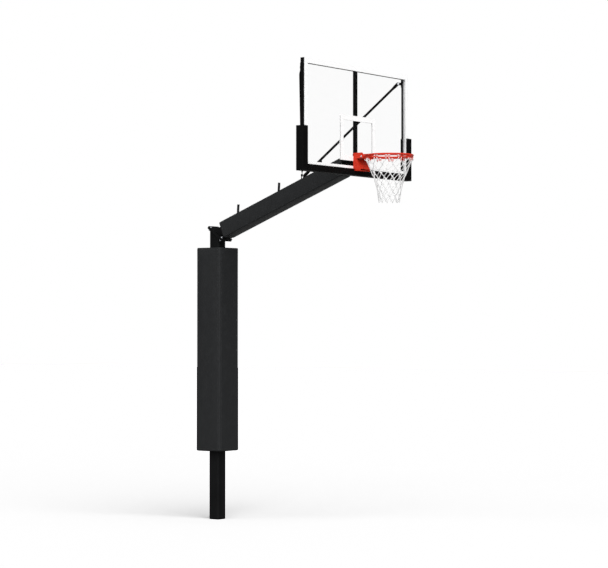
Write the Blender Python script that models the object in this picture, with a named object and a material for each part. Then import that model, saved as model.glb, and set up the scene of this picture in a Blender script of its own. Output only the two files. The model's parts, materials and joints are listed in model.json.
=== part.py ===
"""In-ground basketball hoop: padded pole and rising arm, glass backboard, breakaway rim and net.

Metres, +Z up. The pole's axis is X = Y = 0, Z = 0 is the playing surface, and the hoop faces -Y.
"""

import math

import bmesh
import bpy
from mathutils import Matrix, Vector

GAP = 0.0003  # between two pieces that touch

# Heights and reaches. A reach is the distance in front of the pole's axis.
RIM_TOP = 3.048
FOOT = -0.720
GLASS_REACH = 1.827
BOARD = {"width": 1.8288, "height": 1.0668, "bottom": 2.896}

# Square tubes: side, corner radius and wall.
POLE = {"side": 0.127, "corner": 0.020, "wall": 0.005}
ARM = {"side": 0.1016, "corner": 0.014, "wall": 0.005, "axis": 2.3009,
       "slope": math.radians(21.15), "end": 1.7148}
POLE_PAD = {"side": 0.330, "corner": 0.028, "bottom": 0.006, "top": 2.160, "slack": 0.0015}
ARM_PAD = {"side": 0.180, "corner": 0.012, "start": 0.117, "end": 1.672, "slack": 0.0015}
TAB = {"reaches": (0.280, 0.818, 1.356), "width": 0.038, "thick": 0.012, "tall": 0.112}

# Mitred flange joint between the pole and the arm.
FLANGE = {"reach": 0.028, "height": 2.312, "slope": math.radians(37), "half_width": 0.0889, "rear": -0.118,
          "front": 0.124, "plate": 0.0127}
FLANGE_BOLT = {"x": 0.076, "rear": -0.084, "front": 0.101, "radius": 0.007, "head": 0.0115, "tall": 0.009}

# Backboard. Depths run back from the front of the glass.
GLASS = 0.0127
FRAME = {"face": 0.050, "lip": 0.004, "front": 0.0130, "shelf": 0.0280, "back": 0.0500}
BAR = {"half": 0.0225, "front": 0.0210, "back": 0.0490}
CHANNEL = {"half": 0.140, "front": 0.0503, "back": 0.0995, "low": 2.900, "high": 2.997, "wall": 0.005}
HEAD = {"half": 0.075, "front": 0.0998, "back": 0.1119, "low": 2.880, "high": 3.022}
EDGE_PAD = {"beside": 0.044, "below": 0.046, "proud": 0.017, "back": 0.072, "overlap": 0.034, "sill": 0.022,
            "leg_top": 3.294, "corner": 0.009}

# Braces from the arm to the board's upper corners: where their pins are.
BRACE_LOW = Vector((0.022, -1.138, 2.886))
BRACE_HIGH = Vector((0.860, -(GLASS_REACH - 0.092), 3.872))
BRACE = {"radius": 0.0127, "flat_half": 0.017, "flat_thick": 0.007, "flat_reach": 0.030,
         "neck": 0.060, "ear": 0.008,
         "ear_half": 0.014, "pin": 0.006, "head": 0.011, "head_tall": 0.004, "tip": 0.002}

# Rim. Heights and distances in front of the glass.
RIM = {"inside": 0.2286, "rod": 0.009, "centre": 0.381}
RIM_Z = RIM_TOP - RIM["rod"]
HOOKS = {"count": 12, "wire": 0.004, "low": 2.997}
BRACKET = {"half": 0.0855, "wall": 0.005, "back": 0.006, "low": 2.897, "high": 3.078}
PIVOT = {"out": 0.102, "z": RIM_Z, "radius": 0.006, "tube": 0.013}
SPRING = {"x": 0.040, "out": 0.027, "low": 2.9026, "high": 2.996, "radius": 0.0075, "wire": 0.0014, "turns": 7}
RIM_BOLT = {"x": 0.054, "heights": (2.921, 3.048), "radius": 0.006, "head": 0.0095, "hole": 0.0065}
NET = {"wall": 0.004, "outline": ((2.9965, 0.231), (2.93, 0.206), (2.87, 0.181), (2.80, 0.153),
                                                   (2.745, 0.1355), (2.66, 0.119), (2.568, 0.1085))}

STEEL = (0.020, 0.021, 0.023)
COLOURS = {
    "pole_steel": (STEEL, 0.42, 0.0), "zinc": ((0.62, 0.63, 0.65), 0.32, 1.0),
    "pad_vinyl": ((0.028, 0.029, 0.031), 0.55, 0.0),
    "frame_steel": (STEEL, 0.45, 0.0), "glass": ((0.93, 0.97, 0.96), 0.03, 0.0),
    "spacer": ((0.42, 0.42, 0.43), 0.6, 0.0),
    "edge_foam": ((0.012, 0.012, 0.013), 0.6, 0.0), "rim_red": ((0.62, 0.035, 0.018), 0.35, 0.0),
    "spring_steel": ((0.55, 0.55, 0.56), 0.3, 1.0), "net_cord": ((0.86, 0.86, 0.86), 0.8, 0.0),
    "stop_rubber": ((0.02, 0.02, 0.02), 0.8, 0.0),
}


def clear_scene():
    for thing in list(bpy.data.objects):
        bpy.data.objects.remove(thing, do_unlink=True)


def material(name):
    """One Principled material for each finish, made once."""
    found = bpy.data.materials.get(name)
    if found:
        return found
    colour, roughness, metallic = COLOURS[name]
    made = bpy.data.materials.new(name)
    made.use_nodes = True
    shader = made.node_tree.nodes["Principled BSDF"]
    shader.inputs["Base Color"].default_value = (*colour, 1.0)
    shader.inputs["Roughness"].default_value = roughness
    shader.inputs["Metallic"].default_value = metallic
    return made


def add_object(name, mesh_edit, finish=None, matrix=Matrix.Identity(4)):
    """An object from a bmesh; with no finish it is a cutter."""
    bmesh.ops.recalc_face_normals(mesh_edit, faces=mesh_edit.faces)
    mesh = bpy.data.meshes.new(name)
    mesh_edit.to_mesh(mesh)
    mesh_edit.free()
    thing = bpy.data.objects.new(name, mesh)
    bpy.context.collection.objects.link(thing)
    thing.matrix_world = matrix
    if finish:
        mesh.materials.append(material(finish))
        mesh.shade_smooth()
        mesh.set_sharp_from_angle(angle=math.radians(32))
    else:
        thing.hide_render = True
        thing.display_type = "WIRE"
    return thing


def box_mesh(low, high):
    low, high = Vector(low), Vector(high)
    shape = bmesh.new()
    bmesh.ops.create_cube(shape, size=1.0)
    for vertex in shape.verts:
        vertex.co = Vector(low[i] if vertex.co[i] < 0 else high[i] for i in range(3))
    return shape


def front_box(x0, x1, depth0, depth1, z0, z1):
    """A box behind the glass front: its depths run towards the pole."""
    return box_mesh((x0, depth0 - GLASS_REACH, z0), (x1, depth1 - GLASS_REACH, z1))


def bevel(thing, width, segments=2):
    added = thing.modifiers.new("Bevel", "BEVEL")
    added.width = width
    added.segments = segments
    added.limit_method = "ANGLE"
    added.angle_limit = math.radians(50)
    return thing


def boolean(thing, other, operation="DIFFERENCE"):
    added = thing.modifiers.new(operation.title(), "BOOLEAN")
    added.operation = operation
    added.object = other
    added.solver = "EXACT"
    return thing


def rounded_square(side, corner, steps=4):
    """Points round a square with rounded corners, anticlockwise."""
    reach = side / 2 - corner
    points = []
    for quarter, (sx, sy) in enumerate(((1, 1), (-1, 1), (-1, -1), (1, -1))):
        for step in range(steps + 1):
            angle = math.pi / 2 * (quarter + step / steps)
            points.append((sx * reach + corner * math.cos(angle), sy * reach + corner * math.sin(angle)))
    return points


def ring_prism(place, outer, inner):
    """A tube: place(point, end) gives a loop point's position at end 0 or 1."""
    shape = bmesh.new()
    loops = [[shape.verts.new(place(point, end)) for point in loop]
             for loop in (outer, inner) for end in (0, 1)]
    outer_low, outer_high, inner_low, inner_high = loops
    count = len(outer)
    for i in range(count):
        j = (i + 1) % count
        for a, b in ((outer_low, outer_high), (outer_high, inner_high),
                     (inner_high, inner_low), (inner_low, outer_low)):
            shape.faces.new((a[i], a[j], b[j], b[i]))
    return shape


def prism(outline, place0, place1):
    """A solid between two copies of an outline."""
    shape = bmesh.new()
    low = [shape.verts.new(place0(point)) for point in outline]
    high = [shape.verts.new(place1(point)) for point in outline]
    shape.faces.new(low)
    shape.faces.new(high)
    for i in range(len(outline)):
        j = (i + 1) % len(outline)
        shape.faces.new((low[i], low[j], high[j], high[i]))
    return shape


def lathe(profile, segments):
    """A solid turned about Z from (radius, z) points that start and end on the axis."""
    shape = bmesh.new()
    rings = []
    for radius, z in profile:
        if radius == 0:
            rings.append([shape.verts.new((0, 0, z))])
            continue
        turn = [2 * math.pi * k / segments for k in range(segments)]
        rings.append([shape.verts.new((radius * math.cos(a), radius * math.sin(a), z)) for a in turn])
    for low, high in zip(rings, rings[1:]):
        for k in range(segments):
            j = (k + 1) % segments
            corners = [low[k % len(low)], low[j % len(low)], high[j % len(high)], high[k % len(high)]]
            shape.faces.new(list(dict.fromkeys(corners)))
    return shape


def rod_mesh(radius, length, segments=16):
    return lathe(((0, 0), (radius, 0), (radius, length), (0, length)), segments)


def along(start, direction):
    """A frame with its Z along a direction and its origin at a point."""
    turn = Vector(direction).to_track_quat("Z", "Y").to_matrix().to_4x4()
    return Matrix.Translation(start) @ turn


def hex_bolt(name, finish, start, direction, grip, sizes):
    """A hexagon-headed bolt; start is under the head and the shank runs along the direction."""
    head = bmesh.new()
    bmesh.ops.create_cone(head, cap_ends=True, segments=6, radius1=sizes["head"], radius2=sizes["head"],
                          depth=sizes["tall"])
    bmesh.ops.translate(head, vec=(0, 0, -sizes["tall"] / 2), verts=head.verts)
    frame = along(start, direction)
    bolt = bevel(add_object(name, head, finish, frame), 0.0008, 1)
    shank = rod_mesh(sizes["radius"], grip + 0.002)
    bmesh.ops.translate(shank, vec=(0, 0, -0.002), verts=shank.verts)
    return boolean(bolt, add_object(name + "_shank", shank, None, frame), "UNION")


def drill(thing, start, direction, radius, length, name):
    """A round hole from a point along a direction."""
    return boolean(thing, add_object(name, rod_mesh(radius, length, 20), None, along(start, direction)))


def arm_height(reach):
    return ARM["axis"] + math.tan(ARM["slope"]) * reach


def arm_point(point, reach, plane_slope):
    """A point of the arm's cross-section where it meets a plane through the axis at a reach.

    plane_slope is the rise of the plane's trace over its run; None stands for a plane square to the arm.
    """
    x, up = point
    cos, sin = math.cos(ARM["slope"]), math.sin(ARM["slope"])
    if plane_slope is None:
        shift = 0.0
    elif plane_slope == "upright":
        shift = up * sin / cos
    else:
        normal = Vector((-plane_slope, 1.0))
        shift = -up * normal.dot(Vector((-sin, cos))) / normal.dot(Vector((cos, sin)))
    forward = reach - up * sin + shift * cos
    return Vector((x, -forward, arm_height(reach) + up * cos + shift * sin))


def flange_frame():
    """A frame on the joint's plane: X across, Y up the slope to the rear, Z square to it towards the arm."""
    slope = FLANGE["slope"]
    rearward = Vector((0, math.cos(slope), math.sin(slope)))
    normal = Vector((0, -math.sin(slope), math.cos(slope)))
    turn = Matrix((Vector((1, 0, 0)), rearward, normal)).transposed().to_4x4()
    return Matrix.Translation((0, -FLANGE["reach"], FLANGE["height"])) @ turn


def build_pole():
    """The square pole, cut along the joint's plane at its top, and the plate that closes its foot."""
    below = (FLANGE["plate"] + GAP) / math.cos(FLANGE["slope"])

    def place(point, end):
        x, y = point
        joint = FLANGE["height"] + (y + FLANGE["reach"]) * math.tan(FLANGE["slope"])
        return Vector((x, y, joint - below if end else FOOT + 0.010 + GAP))

    outer = rounded_square(POLE["side"], POLE["corner"])
    inner = rounded_square(POLE["side"] - 2 * POLE["wall"], POLE["corner"] - POLE["wall"])
    add_object("pole", ring_prism(place, outer, inner), "pole_steel")
    foot = prism(outer, lambda p: (*p, FOOT), lambda p: (*p, FOOT + 0.010))
    add_object("pole_foot_plate", foot, "pole_steel")


def build_pole_pad():
    outer = rounded_square(POLE_PAD["side"], POLE_PAD["corner"])
    inner = rounded_square(POLE["side"] + 2 * POLE_PAD["slack"], POLE["corner"] + POLE_PAD["slack"])

    def place(point, end):
        return Vector((*point, POLE_PAD["top"] if end else POLE_PAD["bottom"]))

    add_object("pole_pad", ring_prism(place, outer, inner), "pad_vinyl")


def build_flange():
    """Two mitre plates, bolted at their corners."""
    frame = flange_frame()
    half = FLANGE["half_width"]
    plates = []
    for name, low, high in (("pole_flange_plate", -FLANGE["plate"], 0),
                            ("arm_flange_plate", GAP, FLANGE["plate"])):
        shape = box_mesh((-half, -FLANGE["front"], low), (half, -FLANGE["rear"], high))
        upright = [e for e in shape.edges if abs((e.verts[0].co - e.verts[1].co).z) > 0.001]
        bmesh.ops.bevel(shape, geom=upright, offset=0.012, segments=3, affect="EDGES", profile=0.5)
        plates.append(add_object(name, shape, "pole_steel", frame))
    up = frame.to_3x3() @ Vector((0, 0, 1))
    thick = FLANGE["plate"]
    corners = [(x, y) for y in (-FLANGE_BOLT["front"], -FLANGE_BOLT["rear"])
               for x in (-FLANGE_BOLT["x"], FLANGE_BOLT["x"])]
    for number, (x, y) in enumerate(corners, 1):
        under = frame @ Vector((x, y, -thick - GAP))
        for plate in plates:
            drill(plate, frame @ Vector((x, y, -0.02)), up, FLANGE_BOLT["radius"] + 0.0006, 0.04,
                  f"cut_flange_{number}")
        hex_bolt(f"flange_bolt_{number}", "zinc", under, up, 2 * thick + GAP + 0.014, FLANGE_BOLT)
        nut = bmesh.new()
        bmesh.ops.create_cone(nut, cap_ends=True, segments=6, radius1=FLANGE_BOLT["head"],
                              radius2=FLANGE_BOLT["head"],
                              depth=0.010)
        bmesh.ops.translate(nut, vec=(x, y, thick + GAP + 0.005), verts=nut.verts)
        nut_object = bevel(add_object(f"flange_nut_{number}", nut, "zinc", frame), 0.0008, 1)
        drill(nut_object, frame @ Vector((x, y, 0)), up, FLANGE_BOLT["radius"] + GAP, 0.05, f"cut_nut_{number}")


def build_arm():
    """The rising arm tube, from the joint's plane to the head plate."""
    slope = -math.tan(FLANGE["slope"])
    cos = math.cos(FLANGE["slope"])
    above = (FLANGE["plate"] + GAP) / cos
    rise = FLANGE["height"] + above - ARM["axis"] - slope * FLANGE["reach"]
    start = rise / (math.tan(ARM["slope"]) - slope)

    def place(point, end):
        if end:
            return arm_point(point, ARM["end"], "upright")
        return arm_point(point, start, slope)

    outer = rounded_square(ARM["side"], ARM["corner"])
    inner = rounded_square(ARM["side"] - 2 * ARM["wall"], ARM["corner"] - ARM["wall"])
    add_object("arm", ring_prism(place, outer, inner), "pole_steel")


def build_arm_pad():
    """The foam sleeve round the arm, slotted on top for the brace lug, and its three upright strap tails."""
    outer = rounded_square(ARM_PAD["side"], ARM_PAD["corner"])
    inner = rounded_square(ARM["side"] + 2 * ARM_PAD["slack"], ARM["corner"] + ARM_PAD["slack"])

    def place(point, end):
        if end:
            return arm_point(point, ARM_PAD["end"], "upright")
        return arm_point(point, ARM_PAD["start"], None)

    pad = add_object("arm_pad", ring_prism(place, outer, inner), "pad_vinyl")
    lug_reach = -BRACE_LOW.y
    slot = box_mesh((-0.045, -lug_reach - 0.050, arm_height(lug_reach) + 0.030),
                    (0.045, -lug_reach + 0.050, arm_height(lug_reach) + 0.2))
    boolean(pad, add_object("cut_lug_slot", slot))
    top = ARM_PAD["side"] / 2 / math.cos(ARM["slope"]) + 0.001
    for number, reach in enumerate(TAB["reaches"], 1):
        corners = [(reach + side * TAB["thick"] / 2, lift) for side, lift in ((-1, 0), (1, 0), (1, 1), (-1, 1))]
        outline = [(l, arm_height(l) + top + lift * TAB["tall"]) for l, lift in corners]
        half = TAB["width"] / 2
        tab = prism(outline, lambda p: (-half, -p[0], p[1]), lambda p: (half, -p[0], p[1]))
        bevel(add_object(f"arm_pad_tab_{number}", tab, "pad_vinyl"), 0.002, 2)


def side_frame(point, mirrored):
    """A frame at a brace pin: X runs level along the brace, Y is the pin's axis, Z is up."""
    span = BRACE_HIGH - BRACE_LOW
    side = -1 if mirrored else 1
    level = Vector((side * span.x, span.y, 0)).normalized()
    across = Vector((0, 0, 1)).cross(level)
    turn = Matrix((level, across, Vector((0, 0, 1)))).transposed().to_4x4()
    return Matrix.Translation((side * point.x, point.y, point.z)) @ turn


def ear_mesh(outline):
    half = BRACE["ear"] / 2
    return prism(outline, lambda p: (p[0], -half, p[1]), lambda p: (p[0], half, p[1]))


def round_end(centre, radius, start, stop, steps=8):
    angles = [math.radians(start + (stop - start) * k / steps) for k in range(steps + 1)]
    return [(centre[0] + radius * math.cos(a), centre[1] + radius * math.sin(a)) for a in angles]


def ear_offset(side):
    """How far an ear's middle lies from the middle of the brace's flat end; side is 1 outward and -1 inward."""
    return side * (BRACE["flat_thick"] / 2 + GAP + BRACE["ear"] / 2)


def build_brace_lug():
    """The lug on the arm: a base plate and two ears, one outside each brace."""
    reach = -BRACE_LOW.y
    base_top = arm_height(reach) + ARM["side"] / 2 / math.cos(ARM["slope"])
    slope = math.tan(ARM["slope"])
    outline = [(reach + d, base_top + GAP + d * slope + up) for d, up in
               ((-0.040, 0), (0.040, 0), (0.040, 0.010), (-0.040, 0.010))]
    lug = add_object("brace_lug",
                     prism(outline, lambda p: (-0.036, -p[0], p[1]), lambda p: (0.036, -p[0], p[1])),
                     "frame_steel")
    drop = BRACE_LOW.z - base_top - 0.006
    for mirrored in (False, True):
        half = BRACE["ear_half"]
        ear = [(-0.020, -drop), (half, -drop), *round_end((0, 0), half, 0, 180)]
        frame = side_frame(BRACE_LOW, mirrored) @ outward_shift(ear_offset(1), mirrored)
        boolean(lug, add_object(f"lug_ear_{mirrored}", ear_mesh(ear), None, frame), "UNION")
    for mirrored in (False, True):
        drill_pin(lug, BRACE_LOW, mirrored, f"cut_lug_{mirrored}")


def outward_shift(distance, mirrored):
    """A move along the pin's axis, away from the middle plane of the hoop."""
    return Matrix.Translation((0, -distance if mirrored else distance, 0))


def drill_pin(thing, point, mirrored, name):
    frame = side_frame(point, mirrored)
    across = frame.to_3x3() @ Vector((0, 1, 0))
    drill(thing, frame.translation - across * 0.016, across, BRACE["pin"] + GAP, 0.032, name)


def brace_section(share, steps=20):
    """The tube's outline, squashed by a share from 0, round, to 1, flat."""
    tall = BRACE["radius"] + (BRACE["flat_half"] - BRACE["radius"]) * share
    thick = BRACE["radius"] + (BRACE["flat_thick"] / 2 - BRACE["radius"]) * share
    turn = [2 * math.pi * k / steps for k in range(steps)]
    power = 1 - 0.6 * share
    return [(math.copysign(thick * abs(math.sin(t)) ** power, math.sin(t)), tall * math.cos(t)) for t in turn]


def brace_mesh(length):
    """A tube along X from pin to pin with both ends pressed flat and rounded; its pins' axis is Y."""
    end, reach, neck = BRACE["flat_half"], BRACE["flat_reach"], BRACE["neck"]
    rings = [(-end * math.cos(a), 1.0, max(0.25, math.sin(a)))
             for a in (math.pi / 12, math.pi / 5, math.pi / 3)]
    rings += [(0.0, 1.0, 1.0), (reach, 1.0, 1.0)]
    rings += [(reach + neck * k / 6, (1 + math.cos(math.pi * k / 6)) / 2, 1.0) for k in range(1, 7)]
    rings += [(length - x, share, narrow) for x, share, narrow in reversed(rings)]
    shape = bmesh.new()
    loops = [[shape.verts.new((x, y, z * narrow)) for y, z in brace_section(share)]
             for x, share, narrow in rings]
    for low, high in zip(loops, loops[1:]):
        for k in range(len(low)):
            j = (k + 1) % len(low)
            shape.faces.new((low[k], low[j], high[j], high[k]))
    shape.faces.new(loops[0])
    shape.faces.new(loops[-1])
    return shape


def build_braces():
    """Two diagonal tubes with flattened ends, each held by a pin at either end."""
    span = BRACE_HIGH - BRACE_LOW
    pitch = math.atan2(span.z, Vector(span.xy).length)
    for side, mirrored in (("right", False), ("left", True)):
        frame = side_frame(BRACE_LOW, mirrored) @ Matrix.Rotation(-pitch, 4, "Y")
        brace = add_object(f"brace_{side}", brace_mesh(span.length), "frame_steel", frame)
        for end, point, ear_side in (("lower", BRACE_LOW, 1), ("upper", BRACE_HIGH, -1)):
            drill_pin(brace, point, mirrored, f"cut_brace_{end}_{side}")
            # the head bears on the inner face of the pair, and the tip passes the outer face
            middle = side_frame(point, mirrored)
            outward = middle.to_3x3() @ Vector((0, -1 if mirrored else 1, 0))
            both = BRACE["flat_thick"] + GAP + BRACE["ear"]
            inner_face = -BRACE["flat_thick"] / 2 if ear_side > 0 else ear_offset(-1) - BRACE["ear"] / 2
            start = middle.translation + outward * (inner_face - GAP)
            radius, tall = BRACE["pin"], BRACE["head_tall"]
            pin = lathe(((0, -tall), (BRACE["head"], -tall), (BRACE["head"], 0), (radius, 0),
                         (radius, both + GAP + BRACE["tip"]), (0, both + GAP + BRACE["tip"])), 16)
            finish = "frame_steel" if end == "lower" else "zinc"
            add_object(f"brace_pin_{end}_{side}", pin, finish, along(start, outward))


def build_board_brackets():
    """An ear at each upper corner, inside the brace's end and welded to the back of the side member."""
    for side, mirrored in (("right", False), ("left", True)):
        frame = side_frame(BRACE_HIGH, mirrored) @ outward_shift(ear_offset(-1), mirrored)
        sign = -1 if mirrored else 1
        half = BRACE["ear_half"]
        ear = add_object(f"board_bracket_{side}", ear_mesh([*round_end((0, 0), half, 90, 270), (0.080, -half),
                                                            (0.080, half)]), "frame_steel", frame)
        plate_depth = FRAME["back"] + GAP
        x0, x1 = sorted((sign * 0.866, sign * 0.912))
        plate = front_box(x0, x1, plate_depth, plate_depth + 0.006, BRACE_HIGH.z - 0.040, BRACE_HIGH.z + 0.040)
        boolean(ear, add_object(f"bracket_plate_{side}", plate), "UNION")
        beyond = front_box(-1.0, 1.0, -0.10, plate_depth, BRACE_HIGH.z - 0.1, BRACE_HIGH.z + 0.1)
        boolean(ear, add_object(f"bracket_trim_{side}", beyond))
        drill_pin(ear, BRACE_HIGH, mirrored, f"cut_bracket_{side}")


def build_board_frame():
    """Four mitred members behind the glass: a flat face with a thin lip round the outside, and a centre bar."""
    face, lip = FRAME["face"], FRAME["lip"]
    front, shelf, back = FRAME["front"], FRAME["shelf"], FRAME["back"]
    section = [(0, front), (lip, front), (lip, shelf), (face, shelf), (face, back), (0, back)]
    middle = BOARD["bottom"] + BOARD["height"] / 2
    half_x, half_z = BOARD["width"] / 2, BOARD["height"] / 2
    members = {}
    for name, half, reach, angle in (("bottom", half_x, half_z, 0), ("right", half_z, half_x, -90),
                                     ("top", half_x, half_z, 180),
                                     ("left", half_z, half_x, 90)):
        turn = Matrix.Translation((0, -GLASS_REACH, middle)) @ Matrix.Rotation(math.radians(angle), 4, "Y")

        def place(point, end, half=half, reach=reach):
            inward, depth = point
            return Vector((end * (half - inward - GAP), depth, -reach + inward))

        shape = prism(section, lambda p: place(p, -1), lambda p: place(p, 1))
        members[name] = add_object(f"board_frame_{name}", shape, "frame_steel", turn)
    bar = front_box(-BAR["half"], BAR["half"], BAR["front"], BAR["back"], BOARD["bottom"] + face + GAP,
                    BOARD["bottom"] + BOARD["height"] - face - GAP)
    bevel(add_object("board_centre_bar", bar, "frame_steel"), 0.002, 1)
    return members["bottom"]


def board_rectangle(inset):
    half = BOARD["width"] / 2 - inset
    return [(-half, BOARD["bottom"] + inset), (half, BOARD["bottom"] + inset),
            (half, BOARD["bottom"] + BOARD["height"] - inset),
            (-half, BOARD["bottom"] + BOARD["height"] - inset)]


def build_glass():
    """The glass, and the spacer that holds it off the frame's shelf."""
    half = BOARD["width"] / 2
    top = BOARD["bottom"] + BOARD["height"]
    glass = add_object("glass_panel", front_box(-half, half, 0, GLASS, BOARD["bottom"], top),
                       "glass")
    depths = (FRAME["front"], FRAME["shelf"] - GAP)

    def place(point, end):
        return Vector((point[0], depths[end] - GLASS_REACH, point[1]))

    spacer = ring_prism(place, board_rectangle(FRAME["lip"] + GAP), board_rectangle(FRAME["face"]))
    return glass, add_object("glass_spacer", spacer, "spacer")


def build_channel():
    """The cross channel behind the board's foot, open at both ends, and the arm's head plate behind it."""
    low, high, wall = CHANNEL["low"], CHANNEL["high"], CHANNEL["wall"]
    outer = [(CHANNEL["front"], low), (CHANNEL["back"], low), (CHANNEL["back"], high), (CHANNEL["front"], high)]
    inner = [(CHANNEL["front"] + wall, low + wall), (CHANNEL["back"] - wall, low + wall),
             (CHANNEL["back"] - wall, high - wall), (CHANNEL["front"] + wall, high - wall)]

    def place(point, end):
        return Vector(((2 * end - 1) * CHANNEL["half"], point[0] - GLASS_REACH, point[1]))

    channel = add_object("cross_channel", ring_prism(place, outer, inner), "frame_steel")
    head = front_box(-HEAD["half"], HEAD["half"], HEAD["front"], HEAD["back"], HEAD["low"], HEAD["high"])
    plate = bevel(add_object("arm_head_plate", head, "frame_steel"), 0.002, 1)
    sizes = {"radius": 0.005, "head": 0.009, "tall": 0.006}
    for number, (x, z) in enumerate(((-0.064, 2.948), (0.064, 2.948)), 1):
        start = Vector((x, HEAD["back"] + GAP - GLASS_REACH, z))
        hex_bolt(f"head_bolt_{number}", "zinc", start, (0, -1, 0), 0.022, sizes)
        for piece in (plate, channel):
            drill(piece, start + Vector((0, 0.004, 0)), (0, -1, 0), 0.0056, 0.028, f"cut_head_{number}")
    return channel


def build_edge_pad():
    """The moulded pad round the board's foot and lower corners, grooved for the board."""
    outer_x = BOARD["width"] / 2 + EDGE_PAD["beside"]
    inner_x = BOARD["width"] / 2 - EDGE_PAD["overlap"]
    low = BOARD["bottom"] - EDGE_PAD["below"]
    sill = BOARD["bottom"] + EDGE_PAD["sill"]
    top, corner = EDGE_PAD["leg_top"], EDGE_PAD["corner"]
    half = [(inner_x, sill), (inner_x, top - 0.006), (inner_x + 0.006, top), (outer_x - 0.008, top),
            (outer_x, top - 0.008), *round_end((outer_x - corner, low + corner), corner, 0, -90, 5)]
    outline = half + [(-x, z) for x, z in reversed(half)]
    front, back = -GLASS_REACH - EDGE_PAD["proud"], -GLASS_REACH + EDGE_PAD["back"]
    shape = prism(outline, lambda p: (p[0], front, p[1]), lambda p: (p[0], back, p[1]))
    pad = bevel(add_object("board_edge_pad", shape, "edge_foam"), 0.004, 2)
    half_x = BOARD["width"] / 2 + GAP
    groove = front_box(-half_x, half_x, -GAP, FRAME["back"] + GAP, BOARD["bottom"] - GAP, BOARD["bottom"] + 1)
    boolean(pad, add_object("cut_board_groove", groove))
    clear = BRACKET["half"] + 0.0015
    notch = front_box(-clear, clear, -0.05, 0.002, BRACKET["low"] - 0.0015, 3.1)
    boolean(pad, add_object("cut_rim_notch", notch))
    rear = CHANNEL["half"] + 0.002
    notch = front_box(-rear, rear, 0.045, 0.2, CHANNEL["low"] - 0.002, 3.1)
    boolean(pad, add_object("cut_channel_notch", notch))


def out_point(x, out, z):
    return Vector((x, -(GLASS_REACH + out), z))


def build_rim_bracket():
    """The fixed bracket: a back plate with two cheeks, whose ears carry the pivot bolt."""
    half, wall = BRACKET["half"], BRACKET["wall"]
    low, high = BRACKET["low"], BRACKET["high"]
    cheek = [(GAP, low), (0.088, low), (0.088, 2.914), (0.038, 3.020), (0.116, 3.020), (0.124, 3.030),
             (0.124, 3.060),
             (0.108, high), (GAP, high)]
    shape = prism(cheek, lambda p: out_point(-half, *p), lambda p: out_point(half, *p))
    bracket = add_object("rim_bracket", shape, "rim_red")
    inside = box_mesh(out_point(-half + wall, 0.5, low - 0.1),
                      out_point(half - wall, BRACKET["back"], high + 0.1))
    boolean(bracket, add_object("cut_bracket_inside", inside))
    drill(bracket, out_point(-0.2, PIVOT["out"], PIVOT["z"]), (1, 0, 0), PIVOT["radius"] + GAP, 0.4,
          "cut_bracket_pivot")
    inner = half - wall - 0.0005
    cover = [(0.0875, 2.9145), (0.0375, 3.0205), (0.0335, 3.0185), (0.0835, 2.9125)]
    shape = prism(cover, lambda p: out_point(-inner, *p), lambda p: out_point(inner, *p))
    add_object("rim_spring_cover", shape, "rim_red")
    floor = box_mesh(out_point(-inner, 0.083, low), out_point(inner, BRACKET["back"] + GAP, low + 0.005))
    add_object("rim_spring_shelf", floor, "rim_red")
    stop = box_mesh(out_point(-0.030, 0.0375, 3.0212), out_point(0.030, 0.0265, RIM_Z - 0.003 - GAP))
    bevel(add_object("rim_stop_pad", stop, "stop_rubber"), 0.001, 1)
    return bracket


def build_rim_bolts(bracket, glass, spacer, frame_bottom, channel):
    """Four bolts that hold the bracket through the glass, and the plate that backs the upper two."""
    plate = front_box(-0.068, 0.068, GLASS + GAP, 0.0205, BOARD["bottom"] + FRAME["face"] + 0.0015, 3.070)
    plate = bevel(add_object("rim_backing_plate", plate, "frame_steel"), 0.001, 1)
    sizes = {"radius": RIM_BOLT["radius"], "head": RIM_BOLT["head"], "tall": 0.007}
    for row, z in enumerate(RIM_BOLT["heights"]):
        backed = (plate,) if row else (spacer, frame_bottom, channel)
        grip = 0.030 if row else 0.064
        for column, x in enumerate((-RIM_BOLT["x"], RIM_BOLT["x"])):
            number = 2 * row + column + 1
            start = out_point(x, BRACKET["back"] + GAP, z)
            hex_bolt(f"rim_bolt_{number}", "zinc", start, (0, 1, 0), grip, sizes)
            for piece in (bracket, glass, *backed):
                drill(piece, start - Vector((0, 0.0015, 0)), (0, 1, 0), RIM_BOLT["hole"], 0.068,
                      f"cut_rim_bolt_{number}")


def build_pivot():
    half = BRACKET["half"]
    sizes = {"radius": PIVOT["radius"], "head": 0.0105, "tall": 0.007}
    start = out_point(-half - GAP, PIVOT["out"], PIVOT["z"])
    hex_bolt("rim_pivot_bolt", "zinc", start, (1, 0, 0), 2 * half + 0.013, sizes)
    nut = bmesh.new()
    bmesh.ops.create_cone(nut, cap_ends=True, segments=6, radius1=0.0105, radius2=0.0105, depth=0.009)
    frame = along(out_point(half + GAP + 0.0045, PIVOT["out"], PIVOT["z"]), (1, 0, 0))
    nut = bevel(add_object("rim_pivot_nut", nut, "zinc", frame), 0.0008, 1)
    drill(nut, out_point(0, PIVOT["out"], PIVOT["z"]), (1, 0, 0), PIVOT["radius"] + GAP, 0.2, "cut_pivot_nut")


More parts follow.
